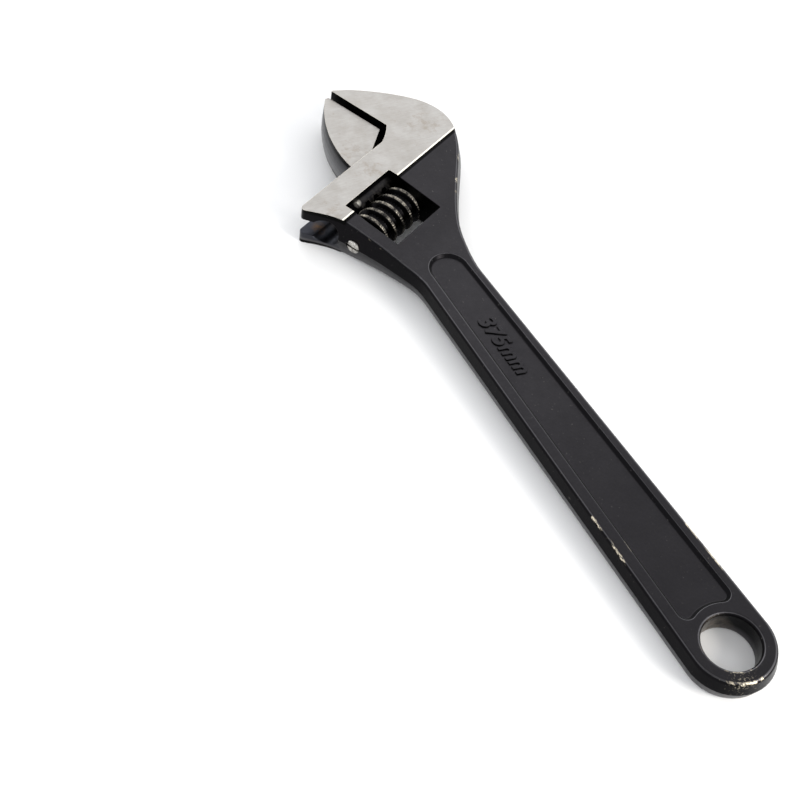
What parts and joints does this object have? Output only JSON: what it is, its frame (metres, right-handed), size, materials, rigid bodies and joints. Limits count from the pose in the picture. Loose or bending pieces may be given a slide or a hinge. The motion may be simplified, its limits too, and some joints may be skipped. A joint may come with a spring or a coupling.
{
  "type": "adjustable wrench",
  "caption": "Adjustable wrench: forged handle and head with a fixed jaw, a sliding jaw moved by a thumb knurl, and a hang hole in the tail.",
  "frame": {"origin": "centre of the hang hole in the tail, at mid-thickness", "axes": "+X along the handle to the head, +Y to the side the movable jaw opens towards, +Z along the hang hole's axis out of the upper face"},
  "size_m": [0.3766, 0.1037, 0.0226],
  "materials": {
    "forged_steel": "satin black finish, with the front of the head ground bright",
    "bright_steel": "ground",
    "knurl_steel": "black, worn bright on the crests",
    "pin_steel": "bright",
    "spring_steel": "plain"
  },
  "bodies": {
    "handle_and_head": {"body": "forged_steel", "knurl_pin": "pin_steel", "knurl_spring": "spring_steel"},
    "movable_jaw": {"movable_jaw": "bright_steel"},
    "adjusting_knurl": {"adjusting_knurl": "knurl_steel"}
  },
  "joints": [
    {"name": "jaw_slide", "type": "slide", "parent": "handle_and_head", "child": "movable_jaw", "axis": [-0.3827, 0.9239, 0], "range_m": [-0.0025, 0.0404]},
    {"name": "knurl_spin", "type": "hinge", "parent": "handle_and_head", "child": "adjusting_knurl", "pos_m": [0.27141, 0.00906, 0], "axis": [-0.3827, 0.9239, 0], "range_deg": [-2240, 140]}
  ],
  "couplings": [
    {"joint": "knurl_spin", "follows": "jaw_slide", "rad_per_m": -966.64}
  ]
}
